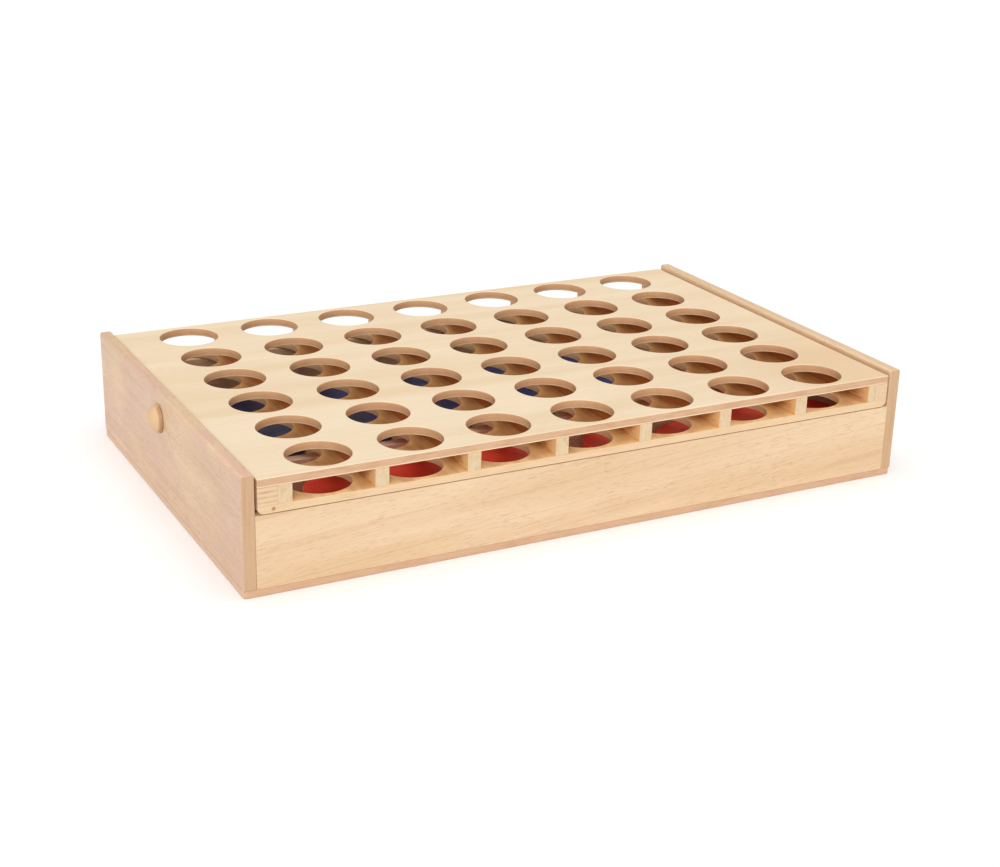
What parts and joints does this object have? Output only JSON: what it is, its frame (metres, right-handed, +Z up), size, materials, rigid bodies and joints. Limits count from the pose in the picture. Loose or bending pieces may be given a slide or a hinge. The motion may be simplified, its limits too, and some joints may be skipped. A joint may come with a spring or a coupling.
{
  "type": "four in a row frame",
  "caption": "Wooden vertical row game packed flat: slotted disc rack with round viewing holes lying over the tray that holds the discs.",
  "frame": {"origin": "centre of the underside of the bottom board", "axes": "+X along the front to the right, +Y from the front to the back, +Z up"},
  "size_m": [0.3012, 0.18, 0.0475],
  "materials": {
    "board_ply": "clear satin varnish",
    "beech": "clear satin varnish",
    "pale_beech": "clear satin varnish",
    "top_ply": "clear satin varnish, brown ply core at the edges",
    "rack_ply": "clear satin varnish",
    "pale_wood": "clear satin varnish",
    "block_wood": "clear satin varnish, layered end grain",
    "peg_wood": "clear satin varnish",
    "red_paint": "semi-gloss red lacquer",
    "blue_paint": "semi-gloss blue lacquer"
  },
  "bodies": {
    "tray": {"bottom_board": "board_ply", "left_side_panel": "beech", "right_side_panel": "beech", "front_panel": "pale_beech", "back_panel": "beech", "tray_divider": "beech", "red_discs_1": "red_paint", "red_discs_2": "red_paint", "red_discs_3": "red_paint", "red_discs_4": "red_paint", "red_discs_5": "red_paint", "red_discs_6": "red_paint", "red_discs_7": "red_paint", "blue_discs_1": "blue_paint", "blue_discs_2": "blue_paint", "blue_discs_3": "blue_paint", "blue_discs_4": "blue_paint", "blue_discs_5": "blue_paint", "blue_discs_6": "blue_paint", "blue_discs_7": "blue_paint", "blue_discs_8": "blue_paint", "blue_discs_9": "blue_paint", "blue_discs_10": "blue_paint", "blue_discs_11": "blue_paint"},
    "rack": {"rack_top_plate": "top_ply", "rack_bottom_plate": "rack_ply", "spacer_1": "pale_wood", "spacer_2": "pale_wood", "spacer_3": "pale_wood", "spacer_4": "pale_wood", "spacer_5": "pale_wood", "spacer_6": "pale_wood", "end_spacer_left": "pale_wood", "end_spacer_right": "pale_wood", "side_block_left": "block_wood", "side_block_right": "block_wood"},
    "left_peg": {"peg_left": "peg_wood"},
    "right_peg": {"peg_right": "peg_wood"}
  },
  "joints": [
    {"name": "rack_lift", "type": "slide", "parent": "tray", "child": "rack", "axis": [0, 0, 1], "range_m": [0, 0.06]},
    {"name": "peg_left_pull", "type": "slide", "parent": "tray", "child": "left_peg", "axis": [-1, 0, 0], "range_m": [0, 0.014]},
    {"name": "peg_right_pull", "type": "slide", "parent": "tray", "child": "right_peg", "axis": [1, 0, 0], "range_m": [0, 0.014]}
  ]
}
